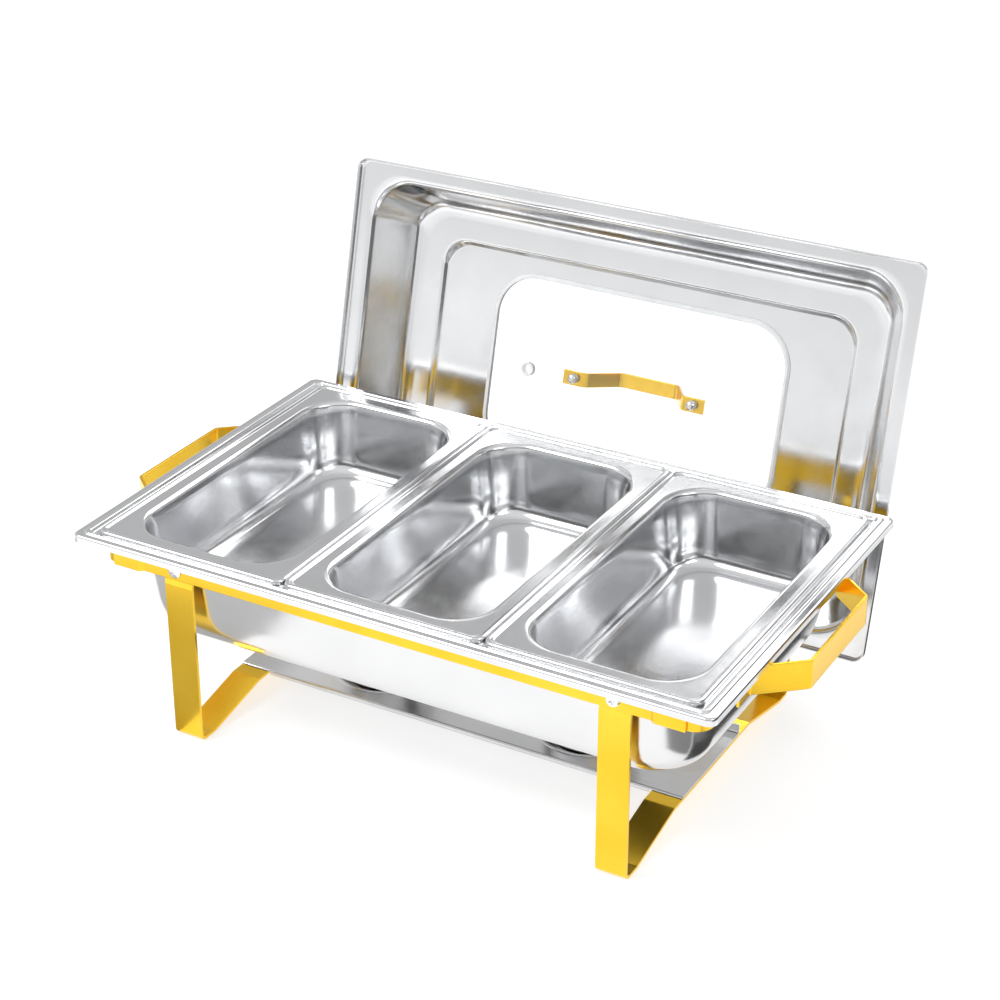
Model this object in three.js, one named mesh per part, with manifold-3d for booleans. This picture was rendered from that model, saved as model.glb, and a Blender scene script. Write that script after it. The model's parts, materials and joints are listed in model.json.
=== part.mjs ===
// A buffet chafer: a folding strap frame carries a water pan with three food pans side by side,
// a shelf with two fuel cups below them, and a drawn lid with a window that stands in two hooks
// at the back. Millimetres, +Z up. Sizes below are given about the middle of the frame, with the
// table at z = 0; the finished group is then moved so that its box is centred on x = 0 and y = 0.
import * as THREE from "three";
import { mergeVertices } from "three/addons/utils/BufferGeometryUtils.js";
import Module from "manifold-3d";

const wasm = await Module();
wasm.setup();

// ---- driving dimensions ----
const GAP = 0.3;                 // clearance between touching pieces
const STRAP = 2.5;               // thickness of the frame's flat bar
const STRAP_HEIGHT = 24.5;       // height of the rails and the side handles
const RAIL_BOTTOM = 148.5;
const RAIL_TOP = RAIL_BOTTOM + STRAP_HEIGHT;
const RAIL_FACE_Y = 155;         // outer face of the front and rear rails
const END_FACE_X = 266;          // outer face of the frame's ends
const JOGGLE_START = 223.5;      // where the rail steps out over the end strap
const JOGGLE_END = 227.2;
const JOGGLE_BEND = 1.5;
const RAIL_END_X = 251.5;
const ARM_START_X = 230;         // where the end strap's arms begin
const END_CORNER_RADIUS = 14;

const LEG_X = 193;               // middle of each leg
const LEG_WIDTH = 26;
const LEG_FACE_Y = RAIL_FACE_Y - STRAP - GAP;
const PIVOT_Z = 156.5;
const PIVOT_HOLE_RADIUS = 2.8;
const LEG_JOGGLE = 0.8;          // step inwards of the post's top, behind the rail
const FOOT_BEND_RADIUS = 5;
const FOOT_FLAT_Y = 134;         // where the foot's flat ends and the bar starts to rise
const CRADLE_Y = 70;             // half length of the raised middle of the bar
const CRADLE_TOP = 16.5;
const CRADLE_BEND_RADIUS = 10;

const SHELF_HALF_X = 206;
const SHELF_FRONT_Y = -56;
const SHELF_REAR_Y = 50;
const SHELF_SHEET = 1.2;
const SHELF_FRONT_LIP = 3.5;
const SHELF_REAR_LIP = 8;
const WELL_X = 97;
const WELL_RADIUS = 44;
const WELL_DEPTH = 5;

const CUP_RADIUS = 38;
const CUP_HEIGHT = 46;

const PAN_PITCH = 176;           // one third of a full-size pan's length
const PAN_HALF_X = 87.7;
const PAN_HALF_Y = 162.3;
const PAN_SHEET = 0.8;
const WATER_SHEET = 1;
const SEAT_Z = RAIL_TOP + GAP + WATER_SHEET;

const HANDLE_GRIP_X = 302.5;
const HANDLE_BOTTOM = 145.2;     // low enough for the branches to pass under the pan's rim
const HANDLE_HEIGHT = 24.2;
const LID_TILT = THREE.MathUtils.degToRad(14);
const LID_HALF_X = 266.5;
const LID_HALF_Y = 168;
const LID_SHEET = 1;
const LID_FOOT_Y = 164.1;        // lower edge of the standing lid's flange
const LID_FOOT_Z = 41;
const LID_SKIRT = 7;             // depth of the flange's turned edge
const WINDOW_HALF_X = 142;
const WINDOW_HALF_Y = 84.5;
const WINDOW_RADIUS = 39;
const PLATEAU_Z = 55;            // outer face of the lid around its window
const GLASS_THICKNESS = 4;
const LID_HANDLE_SCREW_X = 58;
const VENT_X = -103;
const HOOK_X = 120;
const HOOK_WIDTH = 20;

const CORNER_STEPS = 5;          // facets around each rounded corner
const BEND_STEPS = 4;            // facets around each bend of a strap
const ROUND_STEPS = 14;          // facets around small round pieces
const CUP_STEPS = 22;            // facets around the fuel cups and their wells
const BOX_MIDDLE_Y = 62.88;      // middle of the whole object from front to back

// ---- materials ----
function metal(colour, roughness) {
  return new THREE.MeshStandardMaterial({ color: colour, roughness, metalness: 1 });
}
const makeGold = () => metal(0xe9c93c, 0.22);
const makeSteel = () => metal(0xd8d9db, 0.16);
const makeChrome = () => metal(0xe4e6e8, 0.08);
const makeGlass = () =>
  new THREE.MeshStandardMaterial({ color: 0xf4f8f8, roughness: 0.04, transparent: true, opacity: 0.25 });
const makeSilicone = () =>
  new THREE.MeshStandardMaterial({ color: 0xd9dadb, roughness: 0.55, metalness: 0 });

// ---- solids ----
function bare(geometry) {
  const copy = geometry.clone();
  copy.deleteAttribute("normal");
  copy.deleteAttribute("uv");
  return mergeVertices(copy, 1e-4);
}

function toManifold(geometry) {
  const merged = bare(geometry);
  const vertProperties = new Float32Array(merged.attributes.position.array);
  const triVerts = new Uint32Array(merged.index.array);
  return new wasm.Manifold(new wasm.Mesh({ numProp: 3, vertProperties, triVerts }));
}

function fromManifold(manifold) {
  const mesh = manifold.getMesh();
  const geometry = new THREE.BufferGeometry();
  geometry.setAttribute("position", new THREE.BufferAttribute(mesh.vertProperties, 3));
  geometry.setIndex(new THREE.BufferAttribute(mesh.triVerts, 1));
  return geometry;
}

function cut(geometry, tools) {
  let solid = toManifold(geometry);
  for (const tool of tools) {
    solid = solid.subtract(toManifold(tool));
  }
  return fromManifold(solid);
}

function join(geometry, others) {
  let solid = toManifold(geometry);
  for (const other of others) {
    solid = solid.add(toManifold(other));
  }
  return fromManifold(solid);
}

function common(geometry, other) {
  return fromManifold(toManifold(geometry).intersect(toManifold(other)));
}

// Positions and triangles as a closed geometry whose faces point out.
function closedGeometry(positions, triangles) {
  let volume = 0;
  const [a, b, c] = [new THREE.Vector3(), new THREE.Vector3(), new THREE.Vector3()];
  for (let i = 0; i < triangles.length; i += 3) {
    a.fromArray(positions, 3 * triangles[i]);
    b.fromArray(positions, 3 * triangles[i + 1]);
    c.fromArray(positions, 3 * triangles[i + 2]);
    volume += a.dot(b.cross(c));
  }
  const index = volume < 0 ? [...triangles].reverse() : triangles;
  const geometry = new THREE.BufferGeometry();
  geometry.setAttribute("position", new THREE.Float32BufferAttribute(positions, 3));
  geometry.setIndex(index);
  return geometry;
}

// One rounded rectangle: half sizes, height and corner radius.
function ringPoints({ x, y, z, r }) {
  const points = [];
  const corners = [[1, 1], [-1, 1], [-1, -1], [1, -1]];
  corners.forEach(([signX, signY], corner) => {
    for (let step = 0; step <= CORNER_STEPS; step += 1) {
      const angle = (Math.PI / 2) * (corner + step / CORNER_STEPS);
      points.push(signX * (x - r) + r * Math.cos(angle), signY * (y - r) + r * Math.sin(angle), z);
    }
  });
  return points;
}

// A solid through a row of rings, either capped at both ends or closed into a loop.
function loft(rings, loop) {
  const count = 4 * (CORNER_STEPS + 1);
  const positions = rings.flatMap(ringPoints);
  const triangles = [];
  const spans = loop ? rings.length : rings.length - 1;
  for (let ring = 0; ring < spans; ring += 1) {
    const next = (ring + 1) % rings.length;
    for (let i = 0; i < count; i += 1) {
      const j = (i + 1) % count;
      const [p, q] = [ring * count + i, ring * count + j];
      const [s, t] = [next * count + i, next * count + j];
      triangles.push(p, q, t, p, t, s);
    }
  }
  if (!loop) {
    const last = (rings.length - 1) * count;
    const centre = positions.length / 3;
    positions.push(0, 0, rings[0].z, 0, 0, rings[rings.length - 1].z);
    for (let i = 0; i < count; i += 1) {
      const j = (i + 1) % count;
      triangles.push(centre, j, i);
      triangles.push(centre + 1, last + i, last + j);
    }
  }
  return closedGeometry(positions, triangles);
}

// The rings of an upper face, named from the edge inwards, moved below it by the sheet's thickness.
function offsetRings(rings, thickness) {
  const side = (from, to) => new THREE.Vector2(to.z - from.z, to.x - from.x).normalize();
  return rings.map((ring, i) => {
    const before = i > 0 ? side(rings[i - 1], ring) : side(ring, rings[i + 1]);
    const after = i < rings.length - 1 ? side(ring, rings[i + 1]) : before;
    const mitre = before.clone().add(after).normalize();
    const shift = mitre.multiplyScalar(thickness / mitre.dot(after));
    return {
      x: ring.x - shift.x,
      y: ring.y - shift.x,
      z: ring.z + shift.y,
      r: Math.max(ring.r - shift.x, 0.5),
    };
  });
}

// A drawn sheet: the given rings are its upper face, the lower one lies a thickness below.
function drawnSheet(rings, thickness, open) {
  const other = offsetRings(rings, thickness);
  if (open) {
    return loft([...rings, ...other.reverse()], true);
  }
  return loft([...rings.reverse(), ...other], false);
}

// The outline of a bent strap from its middle line's corners, [u, v, bend radius].
function strapShape(corners, thickness) {
  const left = [];
  const right = [];
  const addStation = (point, normal) => {
    left.push(point.clone().addScaledVector(normal, thickness / 2));
    right.push(point.clone().addScaledVector(normal, -thickness / 2));
  };
  const at = (i) => new THREE.Vector2(corners[i][0], corners[i][1]);
  corners.forEach((corner, i) => {
    const into = i > 0 ? at(i).sub(at(i - 1)).normalize() : at(1).sub(at(0)).normalize();
    const out = i < corners.length - 1 ? at(i + 1).sub(at(i)).normalize() : into;
    const turn = Math.atan2(into.cross(out), into.dot(out));
    const startNormal = new THREE.Vector2(-into.y, into.x);
    if (Math.abs(turn) < 1e-6) {
      addStation(at(i), startNormal);
      return;
    }
    const radius = corner[2];
    const reach = radius * Math.tan(Math.abs(turn) / 2);
    const begin = at(i).addScaledVector(into, -reach);
    const centre = begin.clone().addScaledVector(startNormal, radius * Math.sign(turn));
    for (let step = 0; step <= BEND_STEPS; step += 1) {
      const angle = (turn * step) / BEND_STEPS;
      const normal = startNormal.clone().rotateAround(new THREE.Vector2(), angle);
      addStation(centre.clone().addScaledVector(normal, -radius * Math.sign(turn)), normal);
    }
  });
  return new THREE.Shape([...left, ...right.reverse()]);
}

// A strap bent in the XY plane, standing on z = bottom.
function levelStrap(corners, bottom, height) {
  const shape = strapShape(corners, STRAP);
  const geometry = new THREE.ExtrudeGeometry(shape, { depth: height, bevelEnabled: false });
  return geometry.translate(0, 0, bottom);
}

// A strap bent in the YZ plane, its width centred on the given x.
function uprightStrap(corners, middleX, width) {
  const shape = strapShape(corners, STRAP);
  const geometry = new THREE.ExtrudeGeometry(shape, { depth: width, bevelEnabled: false });
  const turn = new THREE.Matrix4().makeBasis(
    new THREE.Vector3(0, 1, 0), new THREE.Vector3(0, 0, 1), new THREE.Vector3(1, 0, 0));
  return geometry.applyMatrix4(turn).translate(middleX - width / 2, 0, 0);
}

// A solid of revolution about Z from [radius, height] corners, starting and ending on the axis.
function turned(profile, steps = ROUND_STEPS) {
  return closedFromLathe(profile.map(([radius, height]) => new THREE.Vector2(radius, height)), steps);
}

// A turned ring from [radius, height] corners that close on themselves.
function turnedRing(profile, steps = ROUND_STEPS) {
  const points = profile.map(([radius, height]) => new THREE.Vector2(radius, height));
  points.push(points[0].clone());
  return closedFromLathe(points, steps);
}

function closedFromLathe(points, steps) {
  const lathe = new THREE.LatheGeometry(points, steps);
  lathe.rotateX(Math.PI / 2);
  const merged = bare(lathe);
  const index = [...merged.index.array];
  const kept = [];
  for (let i = 0; i < index.length; i += 3) {
    const [a, b, c] = index.slice(i, i + 3);
    if (a !== b && b !== c && a !== c) {
      kept.push(a, b, c);
    }
  }
  return closedGeometry([...merged.attributes.position.array], kept);
}

function drill(x, z, radius) {
  const geometry = new THREE.CylinderGeometry(radius, radius, 400, ROUND_STEPS);
  return geometry.translate(x, 0, z);
}

// ---- assembly ----
const part = new THREE.Group();

function add(name, geometry, material, parent = part) {
  const mesh = new THREE.Mesh(geometry, material);
  mesh.name = name;
  parent.add(mesh);
  return mesh;
}

const SIDES = [["left", -1], ["right", 1]];
const CORNERS = [
  ["front_left", -1, -1], ["front_right", 1, -1], ["rear_left", -1, 1], ["rear_right", 1, 1],
];

// ---- frame ----
function railGeometry(sign) {
  const inner = sign * (RAIL_FACE_Y - STRAP / 2);
  const outer = sign * (RAIL_FACE_Y + STRAP / 2 + GAP);
  const rail = levelStrap([
    [-RAIL_END_X, outer, 0],
    [-JOGGLE_END, outer, JOGGLE_BEND],
    [-JOGGLE_START, inner, JOGGLE_BEND],
    [JOGGLE_START, inner, JOGGLE_BEND],
    [JOGGLE_END, outer, JOGGLE_BEND],
    [RAIL_END_X, outer, 0],
  ], RAIL_BOTTOM, STRAP_HEIGHT);
  return cut(rail, [drill(-LEG_X, PIVOT_Z, PIVOT_HOLE_RADIUS), drill(LEG_X, PIVOT_Z, PIVOT_HOLE_RADIUS)]);
}

function endStrapGeometry(sign) {
  const armY = RAIL_FACE_Y - STRAP / 2;
  const endX = sign * (END_FACE_X - STRAP / 2);
  return levelStrap([
    [sign * ARM_START_X, -armY, 0],
    [endX, -armY, END_CORNER_RADIUS],
    [endX, armY, END_CORNER_RADIUS],
    [sign * ARM_START_X, armY, 0],
  ], RAIL_BOTTOM, STRAP_HEIGHT);
}

function sideHandleGeometry(sign) {
  const footX = sign * (END_FACE_X + GAP + STRAP / 2);
  const gripX = sign * HANDLE_GRIP_X;
  return levelStrap([
    [footX, -104, 0],
    [footX, -84, 3],
    [gripX, -54, 4],
    [gripX, 54, 4],
    [footX, 84, 3],
    [footX, 104, 0],
  ], HANDLE_BOTTOM, HANDLE_HEIGHT);
}

add("front_rail", railGeometry(-1), makeGold());
add("rear_rail", railGeometry(1), makeGold());
for (const [side, sign] of SIDES) {
  add(`end_strap_${side}`, endStrapGeometry(sign), makeGold());
  add(`side_handle_${side}`, sideHandleGeometry(sign), makeGold());
}

// The standing lid's own axes, seen from the side as [y, z]: along its plane and square to it.
const LID_UP = [Math.sin(LID_TILT), Math.cos(LID_TILT)];
const LID_BACK = [Math.cos(LID_TILT), -Math.sin(LID_TILT)];

function lidPoint(back, up) {
  return [
    LID_FOOT_Y + back * LID_BACK[0] + up * LID_UP[0],
    LID_FOOT_Z + back * LID_BACK[1] + up * LID_UP[1],
  ];
}

// A hook that hangs on the rear rail and holds the lower edge of the lid.
function lidHookGeometry(middleX) {
  const hangY = RAIL_FACE_Y + GAP + STRAP / 2;
  const floorUp = -GAP - STRAP / 2;
  const jawBack = LID_SHEET + GAP + STRAP / 2;
  const hangBack = (hangY - LID_FOOT_Y - floorUp * LID_UP[0]) / LID_BACK[0];
  return uprightStrap([
    [hangY, RAIL_TOP - 1.5, 0],
    [...lidPoint(hangBack, floorUp), 2.5],
    [...lidPoint(jawBack, floorUp), 1.6],
    [...lidPoint(jawBack, 13), 0],
  ], middleX, HOOK_WIDTH);
}

for (const [side, sign] of SIDES) {
  add(`lid_hook_${side}`, lidHookGeometry(sign * HOOK_X), makeGold());
}

// Pivot screws run along Y: the head is outside the rail and the nut inside the leg.
const HEAD_RADIUS = 5.6;
const SCREW_RADIUS = 2.5;
const HEAD_HEIGHT = 3;
const NUT_HEIGHT = 2.4;
const SCREW_LENGTH = 2 * STRAP + 2 * GAP + LEG_JOGGLE + NUT_HEIGHT;

function pivotScrewGeometry() {
  const top = GAP + HEAD_HEIGHT;
  return turned([
    [0, -SCREW_LENGTH], [SCREW_RADIUS, -SCREW_LENGTH], [SCREW_RADIUS, GAP], [HEAD_RADIUS, GAP],
    [HEAD_RADIUS, GAP + 0.8], [4.6, GAP + 2], [2.8, top - 0.3], [1.4, top], [1.1, top - 1], [0, top - 1.2],
  ]);
}

// A hexagonal nut with a round hole, lying on z = 0.
function nutGeometry(flatRadius, holeRadius, height) {
  const nut = new THREE.CylinderGeometry(flatRadius, flatRadius, height, 6);
  const hole = new THREE.CylinderGeometry(holeRadius, holeRadius, 4 * height, ROUND_STEPS);
  return cut(nut, [hole]).rotateX(Math.PI / 2).translate(0, 0, height / 2);
}

for (const [corner, signX, signY] of CORNERS) {
  const screw = add(`pivot_screw_${corner}`, pivotScrewGeometry(), makeChrome());
  screw.rotation.x = (-signY * Math.PI) / 2;
  screw.position.set(signX * LEG_X, signY * RAIL_FACE_Y, PIVOT_Z);
  const nut = add(`pivot_nut_${corner}`, nutGeometry(4.6, 2.8, NUT_HEIGHT), makeSteel());
  nut.rotation.x = (-signY * Math.PI) / 2;
  const nutY = LEG_FACE_Y - LEG_JOGGLE - STRAP - GAP - NUT_HEIGHT;
  nut.position.set(signX * LEG_X, signY * nutY, PIVOT_Z);
}

// ---- legs ----
function legGeometry(middleX) {
  const postY = LEG_FACE_Y - STRAP / 2;
  const topZ = PIVOT_Z + LEG_WIDTH / 2;
  const flatZ = STRAP / 2;
  const cradleZ = CRADLE_TOP - STRAP / 2;
  const half = [
    [-postY + LEG_JOGGLE, topZ, 0],
    [-postY + LEG_JOGGLE, RAIL_BOTTOM - 3, 3],
    [-postY, RAIL_BOTTOM - 7, 3],
    [-postY, flatZ, FOOT_BEND_RADIUS],
    [-FOOT_FLAT_Y, flatZ, CRADLE_BEND_RADIUS],
    [-CRADLE_Y, cradleZ, CRADLE_BEND_RADIUS],
  ];
  const otherHalf = half.map(([y, z, radius]) => [-y, z, radius]).reverse();
  const bar = uprightStrap([...half, ...otherHalf], middleX, LEG_WIDTH);
  const outline = new THREE.Shape();
  outline.moveTo(middleX - LEG_WIDTH / 2, -5);
  outline.lineTo(middleX + LEG_WIDTH / 2, -5);
  outline.lineTo(middleX + LEG_WIDTH / 2, PIVOT_Z);
  outline.absarc(middleX, PIVOT_Z, LEG_WIDTH / 2, 0, Math.PI, false);
  outline.closePath();
  const hole = new THREE.Path();
  hole.absarc(middleX, PIVOT_Z, PIVOT_HOLE_RADIUS, 0, 2 * Math.PI, true);
  outline.holes.push(hole);
  const profile = new THREE.ExtrudeGeometry(outline, { depth: 400, bevelEnabled: false, curveSegments: 8 });
  profile.rotateX(Math.PI / 2).translate(0, 200, 0);
  return common(bar, profile);
}

for (const [side, sign] of SIDES) {
  add(`leg_${side}`, legGeometry(sign * LEG_X), makeGold());
}

// ---- burner shelf ----
function wellGeometry(top) {
  const bottom = top - WELL_DEPTH;
  return turned([
    [0, bottom - SHELF_SHEET], [WELL_RADIUS - 5, bottom - SHELF_SHEET],
    [WELL_RADIUS - 1.6, bottom], [WELL_RADIUS + 0.6, top - SHELF_SHEET],
    [WELL_RADIUS + 3, top - SHELF_SHEET / 2],
    [WELL_RADIUS + 2, top + 1], [WELL_RADIUS, top + 1], [WELL_RADIUS - 2.4, bottom + 1],
    [WELL_RADIUS - 5.4, bottom], [0, bottom],
  ], CUP_STEPS);
}

function shelfGeometry() {
  const middle = CRADLE_TOP + GAP + SHELF_SHEET / 2;
  const shape = strapShape([
    [SHELF_FRONT_Y, middle - SHELF_FRONT_LIP, 0],
    [SHELF_FRONT_Y, middle, 1.4],
    [SHELF_REAR_Y, middle, 2],
    [SHELF_REAR_Y, middle + SHELF_REAR_LIP, 0],
  ], SHELF_SHEET);
  const plate = new THREE.ExtrudeGeometry(shape, { depth: 2 * SHELF_HALF_X, bevelEnabled: false });
  const turn = new THREE.Matrix4().makeBasis(
    new THREE.Vector3(0, 1, 0), new THREE.Vector3(0, 0, 1), new THREE.Vector3(1, 0, 0));
  plate.applyMatrix4(turn).translate(-SHELF_HALF_X, 0, 0);
  const wellTop = middle + SHELF_SHEET / 2;
  const wells = SIDES.map(([, sign]) => wellGeometry(wellTop).translate(sign * WELL_X, 0, 0));
  const openings = SIDES.map(([, sign]) => {
    const opening = new THREE.CylinderGeometry(WELL_RADIUS + 1, WELL_RADIUS + 1, 12, CUP_STEPS);
    return opening.rotateX(Math.PI / 2).translate(sign * WELL_X, 0, middle);
  });
  const notches = SIDES.map(([, sign]) => {
    const notch = new THREE.BoxGeometry(LEG_WIDTH + 6, 8, 2 * SHELF_FRONT_LIP);
    return notch.translate(sign * (LEG_X + 1), SHELF_FRONT_Y, CRADLE_TOP + GAP - SHELF_FRONT_LIP);
  });
  return join(cut(plate, [...openings, ...notches]), wells);
}

add("burner_shelf", shelfGeometry(), makeSteel());

// ---- fuel cups ----
const WELL_FLOOR = CRADLE_TOP + GAP + SHELF_SHEET - WELL_DEPTH;

function fuelCupGeometry() {
  const rim = CUP_HEIGHT;
  const outer = CUP_RADIUS;
  return turned([
    [0, 0], [outer - 4, 0], [outer - 1, 3], [outer, 8], [outer, rim - 2], [outer + 3, rim - 1],
    [outer + 3, rim], [outer - 1, rim], [outer - 1, 8], [outer - 2, 4], [outer - 5, 1], [0, 1],
  ], CUP_STEPS);
}

function fuelCoverGeometry() {
  return turned([
    [0, 0], [CUP_RADIUS - 6, 0], [CUP_RADIUS - 4, -2.5], [CUP_RADIUS - 3, -2.5], [CUP_RADIUS - 3, 0],
    [CUP_RADIUS + 3, 0], [CUP_RADIUS + 3, 1], [CUP_RADIUS - 5, 1.6], [8, 3], [5, 4.5], [6.5, 9],
    [4, 11.5], [0, 12],
  ], CUP_STEPS);
}

for (const [side, sign] of SIDES) {
  const cup = add(`fuel_cup_${side}`, fuelCupGeometry(), makeSteel());
  cup.position.set(sign * WELL_X, 0, WELL_FLOOR + GAP);
  const cover = add(`fuel_cover_${side}`, fuelCoverGeometry(), makeSteel());
  cover.position.set(sign * WELL_X, 0, WELL_FLOOR + GAP + CUP_HEIGHT + GAP);
}

// ---- water pan ----
function waterPanGeometry() {
  const seat = SEAT_Z;
  return drawnSheet([
    { x: 280, y: 174, z: seat - 4.5, r: 7.5 },
    { x: 280, y: 174, z: seat + 0.6, r: 7.5 },
    { x: 278.6, y: 172.6, z: seat + 1.8, r: 6.2 },
    { x: 273.4, y: 168.6, z: seat + 1.8, r: 6 },
    { x: 272, y: 167.4, z: seat + 3.2, r: 5.6 },
    { x: 269.2, y: 165.6, z: seat + 3.2, r: 5 },
    { x: 267, y: 163.6, z: seat, r: 4 },
    { x: 256, y: 149.4, z: seat, r: 30 },
    { x: 252.6, y: 146.6, z: seat - 2.6, r: 34 },
    { x: 250.6, y: 144.9, z: seat - 12, r: 40 },
    { x: 246, y: 141, z: seat - 65.3, r: 44 },
    { x: 243, y: 138, z: seat - 77.3, r: 44 },
    { x: 236, y: 131, z: seat - 87.3, r: 40 },
    { x: 224, y: 119, z: seat - 91.3, r: 34 },
  ], WATER_SHEET, false);
}

add("water_pan", waterPanGeometry(), makeSteel());

// ---- food pans ----
function foodPanGeometry() {
  const foot = SEAT_Z + GAP;
  const [x, y] = [PAN_HALF_X, PAN_HALF_Y];
  return drawnSheet([
    { x, y, z: foot, r: 9 },
    { x, y, z: foot + 2.6, r: 9 },
    { x: x - 1.2, y: y - 1.2, z: foot + 3.8, r: 8 },
    { x: x - 3.4, y: y - 3.4, z: foot + 3.8, r: 7 },
    { x: x - 5, y: y - 5, z: foot + 2.2, r: 7 },
    { x: 73, y: 146.5, z: foot + 2.2, r: 38 },
    { x: 70.4, y: 143.9, z: foot, r: 36 },
    { x: 69, y: 142.5, z: foot - 6, r: 35 },
    { x: 64, y: 137.5, z: foot - 51.6, r: 32 },
    { x: 60.5, y: 134, z: foot - 59.6, r: 30 },
    { x: 53, y: 126.5, z: foot - 63.1, r: 25 },
  ], PAN_SHEET, false);
}

const PANS = [["left", -1], ["centre", 0], ["right", 1]];
for (const [place, step] of PANS) {
  const pan = add(`food_pan_${place}`, foodPanGeometry(), makeSteel());
  pan.position.x = step * PAN_PITCH;
}

// ---- lid, drawn as it would lie flat and then stood up in its hooks ----
const lid = new THREE.Group();
lid.rotation.x = -(Math.PI / 2 + LID_TILT);
lid.position.set(0, LID_FOOT_Y + LID_HALF_Y * LID_UP[0], LID_FOOT_Z + LID_HALF_Y * LID_UP[1]);
part.add(lid);

function lidShellGeometry() {
  const flange = LID_SHEET;
  const plateau = PLATEAU_Z;
  const [x, y] = [LID_HALF_X, LID_HALF_Y];
  return drawnSheet([
    { x, y, z: flange - LID_SKIRT, r: 10 },
    { x, y, z: flange - 2, r: 10 },
    { x: x - 2, y: y - 2, z: flange, r: 8 },
    { x: x - 13.6, y: y - 13.6, z: flange, r: 40 },
    { x: x - 16.8, y: y - 16.8, z: flange + 3, r: 38 },
    { x: x - 35.5, y: y - 31, z: plateau - 12, r: 30 },
    { x: x - 39, y: y - 33.5, z: plateau - 6.5, r: 28 },
    { x: x - 46, y: y - 40.5, z: plateau - 4, r: 26 },
    { x: x - 66, y: y - 64, z: plateau - 4, r: 25 },
    { x: x - 70, y: y - 68, z: plateau, r: 24 },
    { x: WINDOW_HALF_X + GAP, y: WINDOW_HALF_Y + GAP, z: plateau, r: WINDOW_RADIUS + GAP },
  ], LID_SHEET, true);
}

const GLASS_TOP = PLATEAU_Z - LID_SHEET / 2 + GLASS_THICKNESS / 2;
const GLASS_BOTTOM = GLASS_TOP - GLASS_THICKNESS;
const GASKET_LIP = 1.7;          // how far the gasket laps over the sheet
const GASKET_REACH = 2.4;        // and inwards over the glass

// The gasket's section: one groove grips the sheet's edge and the other the glass.
function gasketGeometry() {
  const sheetTop = PLATEAU_Z + GAP;
  const sheetBottom = PLATEAU_Z - LID_SHEET - GAP;
  const glassTop = GLASS_TOP + GAP;
  const glassBottom = GLASS_BOTTOM - GAP;
  const section = [
    [GASKET_LIP, sheetTop], [GASKET_LIP, sheetTop + 0.6], [0, glassTop + 0.8],
    [-GASKET_REACH, glassTop + 0.8], [-GASKET_REACH, glassTop], [-1, glassTop], [-1, glassBottom],
    [-GASKET_REACH, glassBottom], [-GASKET_REACH, glassBottom - 0.8], [0, glassBottom - 0.8],
    [GASKET_LIP, sheetBottom - 0.6], [GASKET_LIP, sheetBottom], [0, sheetBottom], [0, sheetTop],
  ];
  return loft(section.map(([out, z]) => ({
    x: WINDOW_HALF_X + out, y: WINDOW_HALF_Y + out, z, r: WINDOW_RADIUS + out,
  })), true);
}

function lidDrill(x, radius) {
  const drillBit = new THREE.CylinderGeometry(radius, radius, 60, ROUND_STEPS);
  return drillBit.rotateX(Math.PI / 2).translate(x, 0, PLATEAU_Z);
}

function glassGeometry() {
  const inset = 1 + GAP;
  const size = { x: WINDOW_HALF_X - inset, y: WINDOW_HALF_Y - inset, r: WINDOW_RADIUS - inset };
  const pane = loft([{ ...size, z: GLASS_BOTTOM }, { ...size, z: GLASS_TOP }], false);
  return cut(pane, [
    lidDrill(-LID_HANDLE_SCREW_X, 3), lidDrill(LID_HANDLE_SCREW_X, 3), lidDrill(VENT_X, 5.2),
  ]);
}

add("lid_shell", lidShellGeometry(), makeSteel(), lid);
add("lid_window_gasket", gasketGeometry(), makeSilicone(), lid);
add("lid_window_glass", glassGeometry(), makeGlass(), lid);

// Hardware on the glass, from the outside in: cap nut, handle foot, washer, glass, screw head.
const WASHER_HEIGHT = 1.2;
const LID_HANDLE_THICKNESS = 2;
const LID_HANDLE_WIDTH = 13;
const LID_HANDLE_FOOT = GLASS_TOP + GAP + WASHER_HEIGHT + GAP;
const LID_HANDLE_RISE = 36;

function lidHandleGeometry() {
  const footZ = LID_HANDLE_FOOT + LID_HANDLE_THICKNESS / 2;
  const gripZ = footZ + LID_HANDLE_RISE;
  const half = [[-69, footZ, 0], [-48, footZ, 7], [-28, gripZ, 8]];
  const otherHalf = half.map(([x, z, radius]) => [-x, z, radius]).reverse();
  const shape = strapShape([...half, ...otherHalf], LID_HANDLE_THICKNESS);
  const bar = new THREE.ExtrudeGeometry(shape, { depth: LID_HANDLE_WIDTH, bevelEnabled: false });
  bar.rotateX(Math.PI / 2).translate(0, LID_HANDLE_WIDTH / 2, 0);
  return cut(bar, [lidDrill(-LID_HANDLE_SCREW_X, 2.4), lidDrill(LID_HANDLE_SCREW_X, 2.4)]);
}

function lidScrewGeometry() {
  const shankTop = LID_HANDLE_FOOT + LID_HANDLE_THICKNESS + GAP + 3;
  const seat = GLASS_BOTTOM - GAP;
  return turned([
    [0, seat - 2], [0.8, seat - 1.8], [1.1, seat - 2.6], [2.4, seat - 2.3], [3.7, seat - 1.3], [4.1, seat],
    [2, seat], [2, shankTop], [0, shankTop],
  ]);
}

function lidWasherGeometry() {
  const bottom = GLASS_TOP + GAP;
  const top = bottom + WASHER_HEIGHT;
  return turnedRing([[2.6, bottom], [4.3, bottom], [4.3, top], [2.6, top]]);
}

// A domed cap nut, hollow from below.
function capNutGeometry() {
  const bottom = LID_HANDLE_FOOT + LID_HANDLE_THICKNESS + GAP;
  return turned([
    [0, bottom + 3.6], [2.4, bottom + 3.6], [2.4, bottom], [4.4, bottom], [4.4, bottom + 3],
    [3.4, bottom + 5], [1.6, bottom + 6.2], [0, bottom + 6.4],
  ]);
}

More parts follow.
